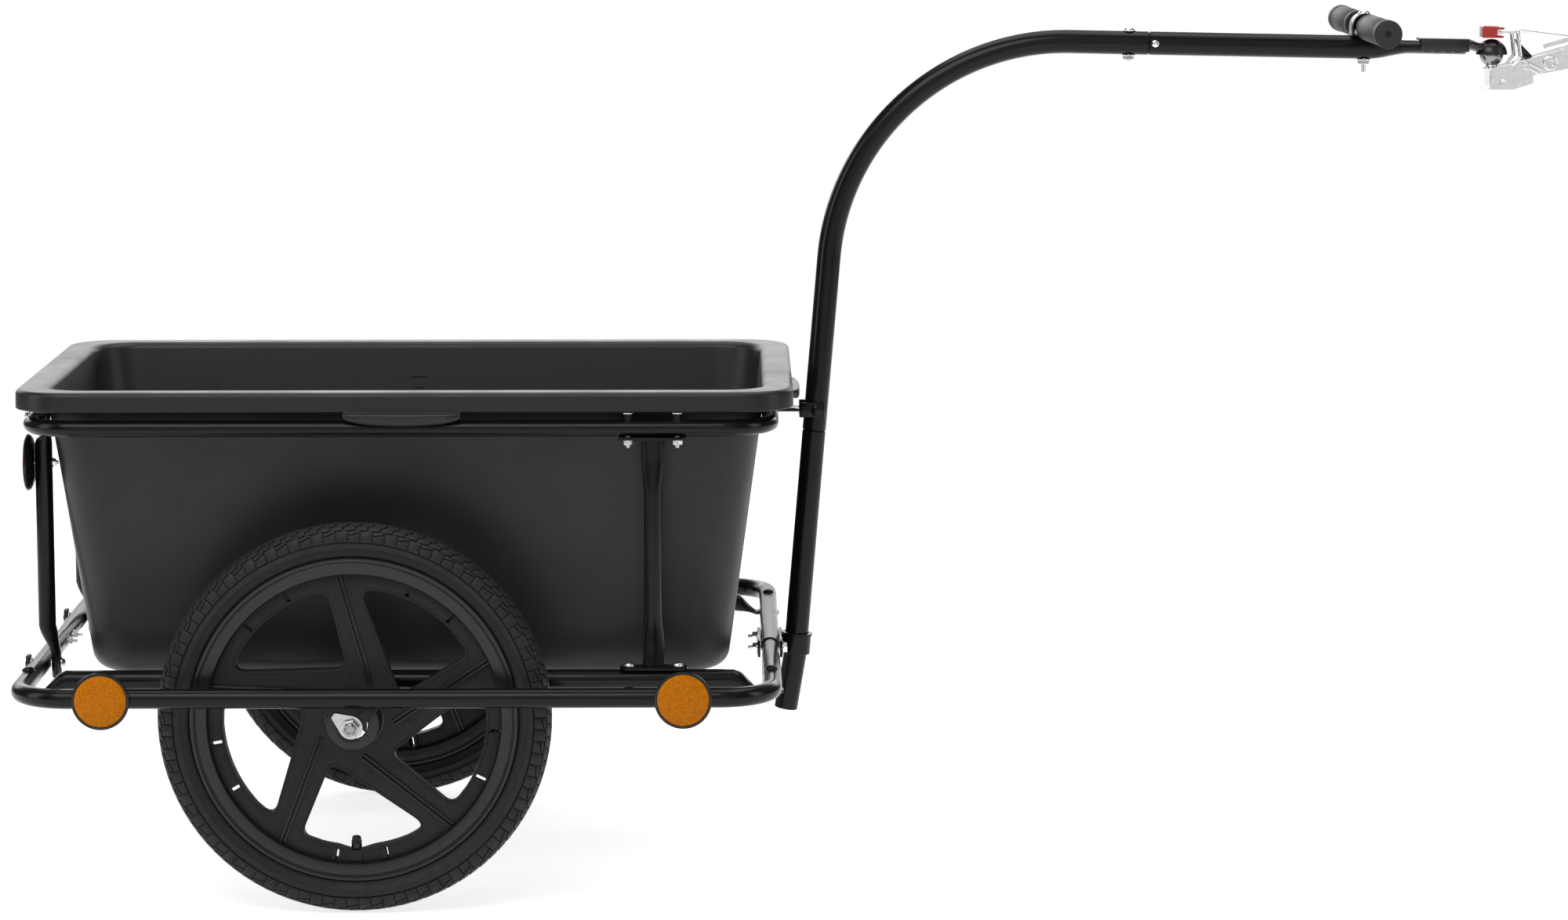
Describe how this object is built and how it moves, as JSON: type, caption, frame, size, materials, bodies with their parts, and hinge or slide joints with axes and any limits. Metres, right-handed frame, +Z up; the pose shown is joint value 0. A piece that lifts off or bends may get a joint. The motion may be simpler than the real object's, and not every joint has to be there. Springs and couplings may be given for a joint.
{
  "type": "bicycle trailer",
  "caption": "Bicycle trailer on spoked wheels: a moulded lift-out tub in a black tube frame, with a curved drawbar, a pull handle and a ball hitch that clamps on a seat post.",
  "frame": {"origin": "middle of the bounding box in plan, on the ground under the wheels", "axes": "+X forwards, the way it is towed; +Y to the left; +Z up"},
  "size_m": [1.6682, 0.7092, 0.9028],
  "materials": {
    "black_powder_coat": "satin",
    "black_moulded_plastic": "fine grain",
    "tyre_rubber": "matt",
    "grip_rubber": "matt",
    "zinc_plated_steel": "zinc plated",
    "black_gloss_plastic": "gloss",
    "amber_lens": "clear prismatic",
    "red_lens": "clear prismatic",
    "red_plastic": "gloss"
  },
  "bodies": {
    "chassis": {"frame_half_left": "black_powder_coat", "frame_half_right": "black_powder_coat", "inner_rail_left": "black_powder_coat", "inner_rail_right": "black_powder_coat", "front_leg_left": "black_powder_coat", "front_leg_right": "black_powder_coat", "rear_leg_left": "black_powder_coat", "rear_leg_right": "black_powder_coat", "upper_hoop": "black_powder_coat", "hoop_stay": "black_powder_coat", "drawbar_clamp": "black_powder_coat", "drawbar_post": "black_powder_coat", "drawbar_bend": "black_powder_coat", "drawbar_front": "black_powder_coat", "drawbar_joint_bolt": "zinc_plated_steel", "handle_bar": "black_powder_coat", "handle_clamp": "black_powder_coat", "handle_bolt": "zinc_plated_steel", "grip_left": "grip_rubber", "grip_right": "grip_rubber", "coupling_head": "black_powder_coat", "axle_left": "zinc_plated_steel", "axle_right": "zinc_plated_steel", "axle_nut_left": "zinc_plated_steel", "axle_nut_right": "zinc_plated_steel", "tab_washer_left": "zinc_plated_steel", "tab_washer_right": "zinc_plated_steel", "amber_housing_front_left": "black_gloss_plastic", "amber_housing_front_right": "black_gloss_plastic", "amber_housing_rear_left": "black_gloss_plastic", "amber_housing_rear_right": "black_gloss_plastic", "amber_lens_front_left": "amber_lens", "amber_lens_front_right": "amber_lens", "amber_lens_rear_left": "amber_lens", "amber_lens_rear_right": "amber_lens", "red_housing_left": "black_gloss_plastic", "red_housing_right": "black_gloss_plastic", "red_lens_left": "red_lens", "red_lens_right": "red_lens"},
    "right_wheel": {"wheel_right": "black_moulded_plastic", "tyre_right": "tyre_rubber", "valve_right": "black_moulded_plastic", "bearing_inner_right": "zinc_plated_steel", "bearing_outer_right": "zinc_plated_steel"},
    "left_wheel": {"wheel_left": "black_moulded_plastic", "tyre_left": "tyre_rubber", "valve_left": "black_moulded_plastic", "bearing_inner_left": "zinc_plated_steel", "bearing_outer_left": "zinc_plated_steel"},
    "lift_out_tub": {"tub": "black_moulded_plastic"},
    "button": {"snap_button": "zinc_plated_steel"},
    "ball": {"hitch_ball": "zinc_plated_steel"},
    "bracket": {"hitch_bracket": "zinc_plated_steel", "clamp_bolt_rear": "zinc_plated_steel", "clamp_bolt_front": "zinc_plated_steel", "lock_pin": "zinc_plated_steel", "keeper_wire": "zinc_plated_steel"},
    "spring_clip": {"r_clip": "zinc_plated_steel"},
    "latch": {"latch_bail": "zinc_plated_steel", "latch_grip": "red_plastic"}
  },
  "joints": [
    {"name": "right_wheel_spin", "type": "hinge", "parent": "chassis", "child": "right_wheel", "pos_m": [-0.47301, -0.28676, 0.2], "axis": [0, 1, 0], "continuous": true},
    {"name": "left_wheel_spin", "type": "hinge", "parent": "chassis", "child": "left_wheel", "pos_m": [-0.47301, 0.28676, 0.2], "axis": [0, 1, 0], "continuous": true},
    {"name": "tub_lift", "type": "slide", "parent": "chassis", "child": "lift_out_tub", "axis": [0, 0, 1], "range_m": [0, 0.35]},
    {"name": "snap_button_press", "type": "slide", "parent": "chassis", "child": "button", "axis": [0, 1, 0], "range_m": [0, 0.004], "stiffness_N_per_m": 400},
    {"name": "hitch_yaw", "type": "hinge", "parent": "chassis", "child": "ball", "pos_m": [0.7146, 0, 0.855], "axis": [0, 0, 1], "range_deg": [-90, 90]},
    {"name": "hitch_pitch", "type": "hinge", "parent": "ball", "child": "bracket", "pos_m": [0.7146, 0, 0.855], "axis": [0, 1, 0], "range_deg": [-10, 20]},
    {"name": "clip_pull", "type": "slide", "parent": "bracket", "child": "spring_clip", "axis": [0.8854, 0, -0.4648], "range_m": [0, 0.02]},
    {"name": "latch_open", "type": "hinge", "parent": "bracket", "child": "latch", "pos_m": [0.7343, 0, 0.8458], "axis": [0, 1, 0], "range_deg": [0, 30]}
  ]
}
